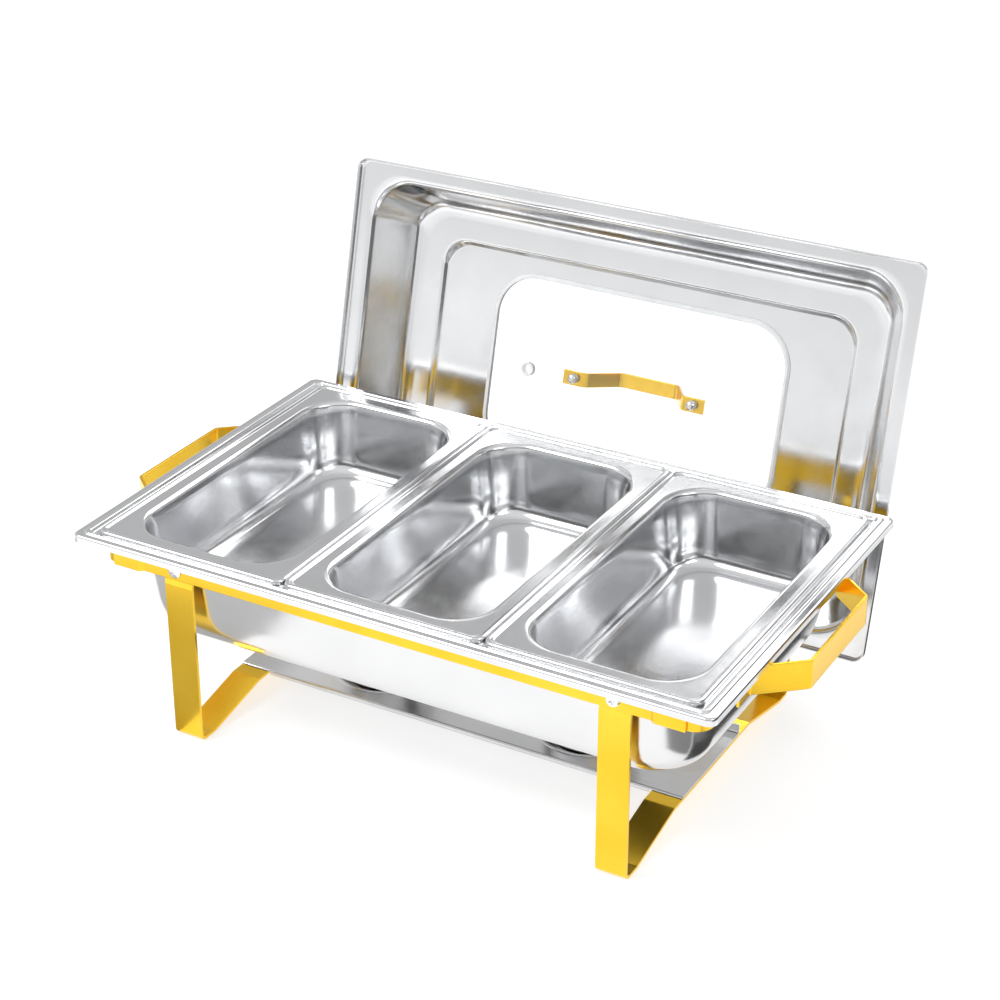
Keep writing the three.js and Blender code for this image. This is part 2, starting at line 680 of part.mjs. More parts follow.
function ventGeometry() {
  const [low, high] = [GLASS_BOTTOM - GAP, GLASS_TOP + GAP];
  return turnedRing([
    [4.2, low - 0.8], [6.2, low - 0.8], [6.2, low], [4.9, low], [4.9, high], [6.2, high],
    [6.2, high + 0.8], [4.2, high + 0.8],
  ]);
}

add("lid_handle", lidHandleGeometry(), makeGold(), lid);
for (const [side, sign] of SIDES) {
  const pieces = [
    add(`lid_screw_${side}`, lidScrewGeometry(), makeChrome(), lid),
    add(`lid_washer_${side}`, lidWasherGeometry(), makeSilicone(), lid),
    add(`lid_cap_nut_${side}`, capNutGeometry(), makeChrome(), lid),
  ];
  pieces.forEach((piece) => {
    piece.position.x = sign * LID_HANDLE_SCREW_X;
  });
}
const vent = add("steam_vent_grommet", ventGeometry(), makeSilicone(), lid);
vent.position.x = VENT_X;

part.position.y = -BOX_MIDDLE_Y;

export default part;
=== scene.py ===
import json
import math

import bmesh
import bpy
from mathutils import Matrix, Vector


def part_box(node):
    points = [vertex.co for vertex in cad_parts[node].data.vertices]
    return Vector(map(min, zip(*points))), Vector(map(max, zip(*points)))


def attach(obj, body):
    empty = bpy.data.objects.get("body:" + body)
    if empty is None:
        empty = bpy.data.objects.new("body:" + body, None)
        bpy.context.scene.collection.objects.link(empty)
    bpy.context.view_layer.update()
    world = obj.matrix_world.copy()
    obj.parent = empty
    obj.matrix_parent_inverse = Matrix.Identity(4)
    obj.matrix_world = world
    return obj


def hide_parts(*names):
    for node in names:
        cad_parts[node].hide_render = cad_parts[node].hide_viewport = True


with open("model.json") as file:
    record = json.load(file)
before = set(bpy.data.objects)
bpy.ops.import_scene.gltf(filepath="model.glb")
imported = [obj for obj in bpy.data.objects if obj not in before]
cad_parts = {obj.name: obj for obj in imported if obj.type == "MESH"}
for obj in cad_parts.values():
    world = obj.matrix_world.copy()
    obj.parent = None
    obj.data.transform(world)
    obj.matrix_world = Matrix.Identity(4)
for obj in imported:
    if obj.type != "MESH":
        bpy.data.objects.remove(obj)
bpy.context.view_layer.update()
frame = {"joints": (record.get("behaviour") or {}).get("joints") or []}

MM = 0.001

# Sizes in millimetres. Places come from the frame's own boxes.
STRAP = 2.5
STRAP_EDGE = 0.45          # rounding of a strap's long edges
GAP = 0.3
CORNER_STEPS = 14          # facets around each rounded corner of a drawn sheet
BEND_STEPS = 6             # facets around each bend of a sheet or strap
ROUND_STEPS = 64           # facets around turned pieces
WATER_SHEET = 1.0
PAN_SHEET = 0.8
LID_SHEET = 1.0
SHELF_SHEET = 1.2
END_CORNER = 14            # bend radius of the frame's corners
PIVOT_HOLE = 2.8

HEAD_RADIUS = 5.6
HEAD_HEIGHT = 3
SCREW_RADIUS = 2.5

LEG_JOGGLE = 0.8           # step inwards of the post's top, behind the rail
FOOT_BEND = 5
FOOT_FLAT_Y = 134          # where the foot's flat ends and the bar starts to rise
CRADLE_Y = 70              # half length of the raised middle of the bar
CRADLE_TOP = 16.5
CRADLE_BEND = 10

SHELF_FRONT_LIP = 3.5
SHELF_NOTCH = 32           # width of the gap in the front lip for each leg
WELL_RADIUS = 44
WELL_DEPTH = 5
CUP_BEAD = 3               # how far a fuel cup's bead stands out of its wall

LID_HALF_Y = 168
PLATEAU = 55.0             # outer face of the lid around its window
WINDOW = (142.0, 84.5, 39.0)       # the gasket line's half sizes and corner radius
GASKET_LIP = 1.7           # how far the gasket laps over the sheet
GASKET_REACH = 2.4         # and inwards over the glass
GLASS_MIDDLE = 54.5        # the pane's middle above the lid flange's inner face
GLASS_HALF = 2.0
GLASS_TOP = GLASS_MIDDLE + GLASS_HALF
GLASS_BOTTOM = GLASS_MIDDLE - GLASS_HALF
WASHER_HEIGHT = 1.2
LID_SCREW_X = 58.0
LID_HANDLE_THICKNESS = 2.0
LID_HANDLE_WIDTH = 13.0
LID_HANDLE_RISE = 36
HANDLE_FOOT = GLASS_TOP + GAP + WASHER_HEIGHT + GAP
VENT_HOLE = 5.2

FLOOR_SIZE = 24            # metres
WORLD_FRONT = 0.95         # brightness of the studio before and behind the chafer
WORLD_BACK = 0.62

CAMERA_AZIMUTH = 29.44
CAMERA_ELEVATION = 27.14
CAMERA_DISTANCE = 1.849
CAMERA_LENS = 84.1
CAMERA_TARGET = Vector((0.0112, -0.06, 0.2006))


# ---------------------------------------------------------------- the frame's places

def box_mm(node):
    """A CAD node's lowest and highest corner, in millimetres."""
    low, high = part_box(node)
    return low / MM, high / MM


def middle_mm(node):
    low, high = box_mm(node)
    return (low + high) / 2


def joint_named(name):
    return next(joint for joint in frame["joints"] if joint["name"] == name)


LID_UP = Vector(joint_named("lid_lift")["axis"]).normalized()
LID_BACK = Vector((0, LID_UP.z, -LID_UP.y))
LID_ORIGIN = middle_mm("lid_window_glass") - GLASS_MIDDLE * LID_BACK
LID_PLACE = Matrix.Translation(LID_ORIGIN) @ Matrix((
    (1, 0, 0, 0),
    (0, -LID_UP.y, LID_BACK.y, 0),
    (0, -LID_UP.z, LID_BACK.z, 0),
    (0, 0, 0, 1),
))


# ---------------------------------------------------------------- shapes: (vertices, faces, uv)

def rounded_profile(corners, steps=BEND_STEPS):
    """An open line through [u, v, bend radius] corners, with each bend as an arc.
    Gives (point, normal) stations; the normal is to the left of the way along."""
    points = [Vector(corner[:2]) for corner in corners]
    stations = []
    for i, corner in enumerate(corners):
        into = (points[i] - points[i - 1]).normalized() if i else (points[1] - points[0]).normalized()
        out = (points[i + 1] - points[i]).normalized() if i < len(corners) - 1 else into
        left = Vector((-into.y, into.x))
        turn = math.atan2(into.x * out.y - into.y * out.x, into.dot(out))
        if abs(turn) < 1e-6:
            stations.append((points[i], left))
            continue
        radius = max(corner[2], 0.01)
        reach = radius * math.tan(abs(turn) / 2)
        side = math.copysign(radius, turn)
        centre = points[i] - into * reach + left * side
        for step in range(steps + 1):
            angle = turn * step / steps
            normal = Matrix.Rotation(angle, 2) @ left
            stations.append((centre - normal * side, normal))
    return stations


def sweep(stations, width, thickness, half_widths=None):
    """A flat bar along stations of the UV plane; its width lies along W."""
    vertices, uv, faces = [], [], []
    length = 0.0
    for i, (point, normal) in enumerate(stations):
        if i:
            length += (point - stations[i - 1][0]).length
        half = half_widths[i] if half_widths else width / 2
        for side, across in ((-1, -1), (-1, 1), (1, 1), (1, -1)):
            edge = point + normal * (side * thickness / 2)
            vertices.append(Vector((edge.x, edge.y, across * half)))
            uv.append((length * MM, (across * half + side * thickness) * MM))
    for i in range(len(stations) - 1):
        for k in range(4):
            a, b = 4 * i + k, 4 * i + (k + 1) % 4
            faces.append((a, b, b + 4, a + 4))
    last = 4 * (len(stations) - 1)
    faces += [(0, 3, 2, 1), (last, last + 1, last + 2, last + 3)]
    return vertices, faces, uv


UV_TO_LEVEL = Matrix.Identity(4)                                   # U is X, V is Y, W is Z
UV_TO_UPRIGHT = Matrix(((0, 0, 1, 0), (1, 0, 0, 0), (0, 1, 0, 0), (0, 0, 0, 1)))  # U is Y, V is Z
UV_TO_LONG = Matrix(((1, 0, 0, 0), (0, 0, -1, 0), (0, 1, 0, 0), (0, 0, 0, 1)))    # U is X, V is Z


def bend_rings(rings):
    """Rows of (x, y, z, corner radius, bend) with each bend replaced by a run of rings around it."""
    dense = []
    for i, ring in enumerate(rings):
        here, bend = Vector(ring[:4]), ring[4]
        if i in (0, len(rings) - 1) or bend <= 0:
            dense.append(here)
            continue
        before, after = Vector(rings[i - 1][:4]) - here, Vector(rings[i + 1][:4]) - here
        flat_before = math.hypot(before[0], before[2])
        flat_after = math.hypot(after[0], after[2])
        start = here + before * min(bend / flat_before, 0.48)
        end = here + after * min(bend / flat_after, 0.48)
        for step in range(BEND_STEPS + 1):
            t = step / BEND_STEPS
            dense.append(start * (1 - t) ** 2 + here * (2 * t * (1 - t)) + end * t ** 2)
    return dense


def offset_rings(rings, thickness):
    """The rings of an upper face, named from the edge inwards, moved below it."""
    moved = []
    sides = []
    for i in range(len(rings) - 1):
        step = rings[i + 1] - rings[i]
        sides.append(Vector((step[2], step[0])).normalized())
    for i, ring in enumerate(rings):
        before = sides[max(i - 1, 0)]
        after = sides[min(i, len(sides) - 1)]
        mitre = (before + after).normalized()
        shift = mitre * (thickness / mitre.dot(after))
        moved.append(Vector((ring[0] - shift.x, ring[1] - shift.x, ring[2] + shift.y,
                             max(ring[3] - shift.x, 0.5))))
    return moved


def ring_points(ring):
    x, y, z, radius = ring[:4]
    points = []
    for corner, (sign_x, sign_y) in enumerate(((1, 1), (-1, 1), (-1, -1), (1, -1))):
        for step in range(CORNER_STEPS + 1):
            angle = math.pi / 2 * (corner + step / CORNER_STEPS)
            points.append(Vector((sign_x * (x - radius) + radius * math.cos(angle),
                                  sign_y * (y - radius) + radius * math.sin(angle), z)))
    return points


def loft(rings, loop):
    """A solid through rounded rectangles, capped at both ends or closed into a loop."""
    rows = [ring_points(ring) for ring in rings]
    count = len(rows[0])
    vertices = [point for row in rows for point in row]
    faces = []
    for r in range(len(rows) if loop else len(rows) - 1):
        s = (r + 1) % len(rows)
        for i in range(count):
            j = (i + 1) % count
            faces.append((r * count + i, r * count + j, s * count + j, s * count + i))
    if not loop:
        last = (len(rows) - 1) * count
        faces.append(tuple(range(count)))
        faces.append(tuple(last + i for i in range(count)))
    return vertices, faces, None


def drawn_sheet(rings, thickness, open_middle=False):
    upper = bend_rings(rings)
    lower = offset_rings(upper, thickness)
    if open_middle:
        return loft(upper + lower[::-1], True)
    return loft(upper[::-1] + lower, False)


def turned(corners, steps=ROUND_STEPS, closed=False, radius_at=None):
    """A solid of revolution about Z from [radius, height, bend] corners."""
    line = [point for point, _ in rounded_profile(corners)]
    vertices, faces = [], []
    rows = []
    for point in line:
        if point.x < 1e-6:
            rows.append([len(vertices)] * steps)
            vertices.append(Vector((0, 0, point.y)))
            continue
        rows.append(list(range(len(vertices), len(vertices) + steps)))
        for i in range(steps):
            angle = 2 * math.pi * i / steps
            radius = radius_at(point.x, angle) if radius_at else point.x
            vertices.append(Vector((radius * math.cos(angle), radius * math.sin(angle), point.y)))
    for r in range(len(rows) if closed else len(rows) - 1):
        s = (r + 1) % len(rows)
        for i in range(steps):
            j = (i + 1) % steps
            corners_of_face = [rows[r][i], rows[r][j], rows[s][j], rows[s][i]]
            face = list(dict.fromkeys(corners_of_face))
            if len(face) > 2:
                faces.append(tuple(face))
    return vertices, faces, None


def block(size, centre):
    half = Vector(size) / 2
    vertices = [Vector(centre) + Vector((x * half.x, y * half.y, z * half.z))
                for z in (-1, 1) for y in (-1, 1) for x in (-1, 1)]
    faces = [(0, 2, 3, 1), (4, 5, 7, 6), (0, 1, 5, 4), (2, 6, 7, 3), (0, 4, 6, 2), (1, 3, 7, 5)]
    return vertices, faces, None


# ---------------------------------------------------------------- pieces

def mesh_object(name, shape, place):
    vertices, faces, uv = shape
    mesh = bpy.data.meshes.new(name)
    mesh.from_pydata([tuple(place @ v * MM) for v in vertices], [], faces)
    if uv:
        layer = mesh.uv_layers.new(name="along")
        for loop in mesh.loops:
            layer.data[loop.index].uv = uv[loop.vertex_index]
    bm = bmesh.new()
    bm.from_mesh(mesh)
    bmesh.ops.remove_doubles(bm, verts=bm.verts, dist=2e-7)
    bmesh.ops.dissolve_degenerate(bm, edges=bm.edges, dist=1e-7)
    bmesh.ops.recalc_face_normals(bm, faces=bm.faces)
    bm.to_mesh(mesh)
    bm.free()
    obj = bpy.data.objects.new(name, mesh)
    bpy.context.collection.objects.link(obj)
    return obj


def combine(obj, shape, place, operation):
    """Cuts a shape out of a piece's mesh, or joins it on."""
    tool = mesh_object("tool", shape, place)
    modifier = obj.modifiers.new("combine", "BOOLEAN")
    modifier.object = tool
    modifier.operation = operation
    modifier.solver = "EXACT"
    graph = bpy.context.evaluated_depsgraph_get()
    mesh = bpy.data.meshes.new_from_object(obj.evaluated_get(graph))
    obj.modifiers.remove(modifier)
    obj.data = mesh
    bpy.data.objects.remove(tool)


def finish_piece(obj, node, body, slot, material, edge=0.0, smooth=34, edge_steps=3):
    """Rounds the edges, shades it, hangs it on its CAD body, and hides the CAD node it stands for."""
    mesh = obj.data
    mesh.materials.clear()
    mesh.materials.append(material)
    bm = bmesh.new()
    bm.from_mesh(mesh)
    limit = math.radians(smooth)
    for face in bm.faces:
        face.smooth = True
    for line in bm.edges:
        line.smooth = len(line.link_faces) != 2 or line.calc_face_angle(0) < limit
    bm.to_mesh(mesh)
    bm.free()
    if edge:
        bevel = obj.modifiers.new("edges", "BEVEL")
        bevel.width = edge * MM
        bevel.segments = edge_steps
        bevel.limit_method = "ANGLE"
        bevel.angle_limit = limit
        bevel.use_clamp_overlap = True
        bevel.miter_outer = "MITER_ARC"
    normals = obj.modifiers.new("normals", "WEIGHTED_NORMAL")
    normals.keep_sharp = not edge
    normals.weight = 80
    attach(obj, body)
    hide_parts(node)
    return obj


def piece(node, shape, body, slot, material, place=Matrix.Identity(4), **finish):
    obj = mesh_object(node + "_fine", shape, place)
    return finish_piece(obj, node, body, slot, material, **finish)


# ---------------------------------------------------------------- materials

class Nodes:
    """A material's node tree with short calls for making and joining nodes."""

    def __init__(self, name):
        self.material = bpy.data.materials.new(name)
        self.material.use_nodes = True
        self.tree = self.material.node_tree
        self.shader = self.tree.nodes["Principled BSDF"]

    def add(self, kind, **values):
        node = self.tree.nodes.new(kind)
        for key, value in values.items():
            setattr(node, key, value)
        return node

    def join(self, source, target):
        self.tree.links.new(source, target)

    def set(self, **values):
        for key, value in values.items():
            self.shader.inputs[key.replace("_", " ")].default_value = value

    def coordinates(self, output, scale, turn=(0, 0, 0)):
        source = self.add("ShaderNodeTexCoord")
        mapping = self.add("ShaderNodeMapping")
        mapping.inputs["Scale"].default_value = scale
        mapping.inputs["Rotation"].default_value = turn
        self.join(source.outputs[output], mapping.inputs["Vector"])
        return mapping.outputs["Vector"]

    def noise(self, vector, scale, detail=2.0, roughness=0.5):
        node = self.add("ShaderNodeTexNoise")
        node.inputs["Scale"].default_value = scale
        node.inputs["Detail"].default_value = detail
        node.inputs["Roughness"].default_value = roughness
        self.join(vector, node.inputs["Vector"])
        return node.outputs["Fac"]

    def ramp(self, value, low, high):
        """low and high: (position, value) with value a number or a colour."""
        if isinstance(low[1], (int, float)):
            node = self.add("ShaderNodeMapRange")
            node.inputs["From Min"].default_value = low[0]
            node.inputs["From Max"].default_value = high[0]
            node.inputs["To Min"].default_value = low[1]
            node.inputs["To Max"].default_value = high[1]
            self.join(value, node.inputs["Value"])
            return node.outputs["Result"]
        node = self.add("ShaderNodeValToRGB")
        node.color_ramp.elements[0].position = low[0]
        node.color_ramp.elements[0].color = (*low[1], 1)
        node.color_ramp.elements[1].position = high[0]
        node.color_ramp.elements[1].color = (*high[1], 1)
        self.join(value, node.inputs["Fac"])
        return node.outputs["Color"]

    def bump(self, height, strength, distance, onto=None):
        node = self.add("ShaderNodeBump")
        node.inputs["Strength"].default_value = strength
        node.inputs["Distance"].default_value = distance
        self.join(height, node.inputs["Height"])
        if onto:
            self.join(onto, node.inputs["Normal"])
        return node.outputs["Normal"]


def polished_steel():
    m = Nodes("polished_steel")
    m.set(Metallic=1.0)
    space = m.coordinates("Object", (1, 1, 1))
    cloud = m.noise(space, 9, 3)
    m.join(m.ramp(cloud, (0.3, (0.70, 0.705, 0.715)), (0.7, (0.77, 0.775, 0.785))),
           m.shader.inputs["Base Color"])
    rub = m.noise(space, 42, 5, 0.62)
    m.join(m.ramp(rub, (0.3, 0.13), (0.75, 0.21)), m.shader.inputs["Roughness"])
    waves = m.bump(m.noise(space, 11, 1), 0.03, 0.0012)
    hairs = m.noise(m.coordinates("Object", (14, 900, 900), (0, 0, 0.5)), 1, 3)
    m.join(m.bump(hairs, 0.006, 0.0002, waves), m.shader.inputs["Normal"])
    return m.material


def satin_steel():
    m = Nodes("satin_steel")
    m.set(Metallic=1.0, Anisotropic=0.45)
    grain_space = m.coordinates("Object", (9, 1300, 1300))
    grain = m.noise(grain_space, 1, 4)
    cloud = m.noise(m.coordinates("Object", (1, 1, 1)), 14, 3)
    m.join(m.ramp(cloud, (0.3, (0.66, 0.66, 0.66)), (0.7, (0.73, 0.73, 0.735))),
           m.shader.inputs["Base Color"])
    m.join(m.ramp(grain, (0.3, 0.20), (0.7, 0.28)), m.shader.inputs["Roughness"])
    m.join(m.bump(grain, 0.04, 0.0002), m.shader.inputs["Normal"])
    return m.material


def gold_strap():
    m = Nodes("gold_strap")
    m.set(Metallic=1.0)
    brush_space = m.coordinates("UV", (14, 1500, 1))
    brush = m.noise(brush_space, 1, 4, 0.6)
    space = m.coordinates("Object", (1, 1, 1))
    cloud = m.noise(space, 17, 3)
    m.join(m.ramp(cloud, (0.3, (0.90, 0.54, 0.035)), (0.7, (0.97, 0.63, 0.06))),
           m.shader.inputs["Base Color"])
    m.join(m.ramp(brush, (0.3, 0.15), (0.7, 0.24)), m.shader.inputs["Roughness"])
    waves = m.bump(m.noise(space, 26, 1), 0.05, 0.0008)
    m.join(m.bump(brush, 0.07, 0.00015, waves), m.shader.inputs["Normal"])
    return m.material


def chrome_hardware():
    m = Nodes("chrome_hardware")
    m.set(Metallic=1.0)
    space = m.coordinates("Object", (1, 1, 1))
    rub = m.noise(space, 600, 4)
    m.join(m.ramp(m.noise(space, 240, 2), (0.3, (0.80, 0.81, 0.83)), (0.7, (0.90, 0.91, 0.92))),
           m.shader.inputs["Base Color"])
    m.join(m.ramp(rub, (0.3, 0.05), (0.7, 0.16)), m.shader.inputs["Roughness"])
    m.join(m.bump(rub, 0.05, 0.0001), m.shader.inputs["Normal"])
    return m.material


def silicone():
    m = Nodes("silicone")
    m.set(IOR=1.41)
    space = m.coordinates("Object", (1, 1, 1))
    cloud = m.noise(space, 60, 3)
    m.join(m.ramp(cloud, (0.3, (0.72, 0.73, 0.74)), (0.7, (0.82, 0.83, 0.84))),
           m.shader.inputs["Base Color"])
    m.join(m.ramp(cloud, (0.3, 0.38), (0.7, 0.55)), m.shader.inputs["Roughness"])
    m.join(m.bump(m.noise(space, 900, 3), 0.1, 0.0001), m.shader.inputs["Normal"])
    return m.material


def clear_glass():
    m = Nodes("clear_glass")
    m.set(IOR=1.46, Transmission_Weight=1.0)
    space = m.coordinates("Object", (1, 1, 1))
    haze = m.noise(space, 30, 4)
    m.join(m.ramp(haze, (0.3, (0.975, 0.99, 0.985)), (0.7, (0.99, 1.0, 0.995))),
           m.shader.inputs["Base Color"])
    m.join(m.ramp(haze, (0.4, 0.0), (0.8, 0.03)), m.shader.inputs["Roughness"])
    return m.material


STEEL = polished_steel()
SATIN = satin_steel()
GOLD = gold_strap()
CHROME = chrome_hardware()
SILICONE = silicone()
GLASS = clear_glass()

SIDES = (("left", -1), ("right", 1))
CORNERS = (("front_left", -1), ("front_right", -1), ("rear_left", 1), ("rear_right", 1))


# ---------------------------------------------------------------- frame

def level_strap(node, corners, bottom, height, holes=()):
    place = Matrix.Translation((0, 0, bottom + height / 2)) @ UV_TO_LEVEL
    obj = mesh_object(node + "_fine", sweep(rounded_profile(corners), height, STRAP), place)
    for hole in holes:
        drill_along_y(obj, hole, PIVOT_HOLE)
    finish_piece(obj, node, "frame", "gold_strap", GOLD, edge=STRAP_EDGE)


def drill_along_y(obj, centre, radius):
    shape = turned([(0, -30, 0), (radius, -30, 0), (radius, 30, 0), (0, 30, 0)], 32)
    place = Matrix.Translation(centre) @ Matrix.Rotation(math.pi / 2, 4, "X")
    combine(obj, shape, place, "DIFFERENCE")


def build_rail(node, sign):
    low, high = box_mm(node)
    end_name = node.removesuffix("_rail")
    screws = [middle_mm(f"pivot_screw_{end_name}_{side}") for side, _ in SIDES]
    outer = (high.y if sign > 0 else low.y) - sign * STRAP / 2
    inner = (low.y if sign > 0 else high.y) + sign * STRAP / 2
    end = high.x
    step_out, step_in, bend = end - 24.3, end - 28, 1.5
    corners = [(-end, outer, 0), (-step_out, outer, bend), (-step_in, inner, bend),
               (step_in, inner, bend), (step_out, outer, bend), (end, outer, 0)]
    level_strap(node, corners, low.z, high.z - low.z, screws)


def build_end_strap(node, sign):
    low, high = box_mm(node)
    start = low.x if sign > 0 else high.x
    end = (high.x if sign > 0 else low.x) - sign * STRAP / 2
    front, rear = low.y + STRAP / 2, high.y - STRAP / 2
    corners = [(start, front, 0), (end, front, END_CORNER), (end, rear, END_CORNER), (start, rear, 0)]
    level_strap(node, corners, low.z, high.z - low.z)


def build_side_handle(node, sign):
    low, high = box_mm(node)
    foot = (low.x if sign > 0 else high.x) + sign * STRAP / 2
    grip = (high.x if sign > 0 else low.x) - sign * STRAP / 2
    middle = (low.y + high.y) / 2
    end = (high.y - low.y) / 2
    corners = [(foot, -end, 0), (foot, 20 - end, 3), (grip, 50 - end, 4)]
    corners += [(x, -y, bend) for x, y, bend in reversed(corners)]
    level_strap(node, [(x, middle + y, bend) for x, y, bend in corners], low.z, high.z - low.z)


def lid_point(back, up):
    """[y, z] in the frame of a point given back from and up along the standing lid's foot."""
    foot = LID_ORIGIN - LID_HALF_Y * LID_UP
    point = foot + back * LID_BACK + up * LID_UP
    return point.y, point.z


def build_lid_hook(node):
    low, high = box_mm(node)
    rail_top = box_mm("rear_rail")[1].z
    hang = low.y + STRAP / 2
    floor_up = -GAP - STRAP / 2
    jaw = LID_SHEET + GAP + STRAP / 2
    foot_y = lid_point(0, 0)[0]
    hang_back = (hang - foot_y - floor_up * LID_UP.y) / LID_BACK.y
    corners = [(hang, rail_top - 1.5, 0), (*lid_point(hang_back, floor_up), 2.5),
               (*lid_point(jaw, floor_up), 1.6), (*lid_point(jaw, 13), 0)]
    place = Matrix.Translation(((low.x + high.x) / 2, 0, 0)) @ UV_TO_UPRIGHT
    shape = sweep(rounded_profile(corners), high.x - low.x, STRAP)
    piece(node, shape, "frame", "gold_strap", GOLD, place, edge=STRAP_EDGE)


for rail_node, rail_sign in (("front_rail", -1), ("rear_rail", 1)):
    build_rail(rail_node, rail_sign)
for side_name, side_sign in SIDES:
    build_end_strap(f"end_strap_{side_name}", side_sign)
    build_side_handle(f"side_handle_{side_name}", side_sign)
    build_lid_hook(f"lid_hook_{side_name}")


# ---------------------------------------------------------------- screws and nuts

def screw_place(node, sign):
    """The seat of a screw's head in the frame: its own Z points out of the rail."""
    low, high = box_mm(node)
    seat = (high.y - HEAD_HEIGHT) if sign > 0 else (low.y + HEAD_HEIGHT)
    centre = Vector(((low.x + high.x) / 2, seat, (low.z + high.z) / 2))
    return Matrix.Translation(centre) @ Matrix.Rotation(-sign * math.pi / 2, 4, "X")


def build_pivot_screw(node, sign):
    low, high = box_mm(node)
    shank = high.y - low.y - HEAD_HEIGHT
    corners = [(0, -shank, 0), (SCREW_RADIUS - 0.4, -shank, 0), (SCREW_RADIUS, 0.5 - shank, 0),
               (SCREW_RADIUS, 0, 0), (HEAD_RADIUS, 0, 0.2), (HEAD_RADIUS, 0.9, 0.5),
               (4.7, 2.1, 2.5), (2.6, 2.85, 3), (0, HEAD_HEIGHT, 0)]
    place = screw_place(node, sign)
    obj = mesh_object(node + "_fine", turned(corners), place)
    for turn in (0.3, 0.3 + math.pi / 2):
        slot = block((4.6, 1.1, 2.4), (0, 0, HEAD_HEIGHT - 0.1))
        combine(obj, slot, place @ Matrix.Rotation(turn, 4, "Z"), "DIFFERENCE")
    finish_piece(obj, node, "frame", "chrome_hardware", CHROME, edge=0.12, edge_steps=2)


def hexagon(radius, angle):
    """Distance from the middle to a hexagon whose flats are radius * cos 30 degrees away."""
    inside = (angle + math.pi / 6) % (math.pi / 3) - math.pi / 6
    return radius * math.cos(math.pi / 6) / math.cos(inside)


def build_pivot_nut(node):
    low, high = box_mm(node)
    height = high.y - low.y
    across = (high.z - low.z) / 2
    outer = max(across, (high.x - low.x) / 2)
    corners = [(2.8, 0.3), (3.1, 0), (outer - 0.6, 0), (outer, 0.5), (outer, height - 0.5),
               (outer - 0.6, height), (3.1, height), (2.8, height - 0.3)]
    rows = [(radius, z, 0) for radius, z in corners]

    def outline(radius, angle):
        in_hole = radius < 3.5
        return radius if in_hole else min(hexagon(outer, angle), radius)

    place = Matrix.Translation(((low.x + high.x) / 2, low.y, (low.z + high.z) / 2))
    place = place @ Matrix.Rotation(-math.pi / 2, 4, "X")
    shape = turned(rows, 72, closed=True, radius_at=outline)
    piece(node, shape, "frame", "chrome_hardware", CHROME, place, smooth=25)


for corner_name, corner_y in CORNERS:
    build_pivot_screw(f"pivot_screw_{corner_name}", corner_y)
    build_pivot_nut(f"pivot_nut_{corner_name}")


# ---------------------------------------------------------------- legs

def build_leg(node, side):
    low, high = box_mm(node)
    middle_x, middle_y = (low.x + high.x) / 2, (low.y + high.y) / 2
    half = (high.x - low.x) / 2
    post = (high.y - low.y) / 2 - STRAP / 2
    pivot_z = middle_mm(f"pivot_screw_front_{side}").z
    flat, cradle = STRAP / 2, CRADLE_TOP - STRAP / 2
    rail_bottom = box_mm("front_rail")[0].z
    top = post - LEG_JOGGLE
    corners = [(-top, pivot_z, 0), (-top, rail_bottom - 3, 3), (-post, rail_bottom - 7, 3),
               (-post, flat, FOOT_BEND), (-FOOT_FLAT_Y, flat, CRADLE_BEND),
               (-CRADLE_Y, cradle, CRADLE_BEND)]
    corners += [(-y, z, bend) for y, z, bend in reversed(corners)]
    stations = rounded_profile(corners, 8)
    widths = [half] * len(stations)
    crown = []
    for step in range(1, 13):
        angle = math.radians(7 * step)
        crown.append((half * math.sin(angle), half * math.cos(angle)))
    for rise, width in crown:
        stations.insert(0, (Vector((-top, pivot_z + rise)), Vector((1, 0))))
        stations.append((Vector((top, pivot_z + rise)), Vector((-1, 0))))
        widths.insert(0, width)
        widths.append(width)
    place = Matrix.Translation((middle_x, middle_y, 0)) @ UV_TO_UPRIGHT
    shape = sweep(stations, 2 * half, STRAP, widths)
    obj = mesh_object(node + "_fine", shape, place)
    for end in ("front", "rear"):
        centre = middle_mm(f"pivot_screw_{end}_{side}")
        drill_along_y(obj, centre, PIVOT_HOLE)
    finish_piece(obj, node, node, "gold_strap", GOLD, edge=STRAP_EDGE)


for side_name, _ in SIDES:
    build_leg(f"leg_{side_name}", side_name)


# ---------------------------------------------------------------- shelf, fuel cups and covers

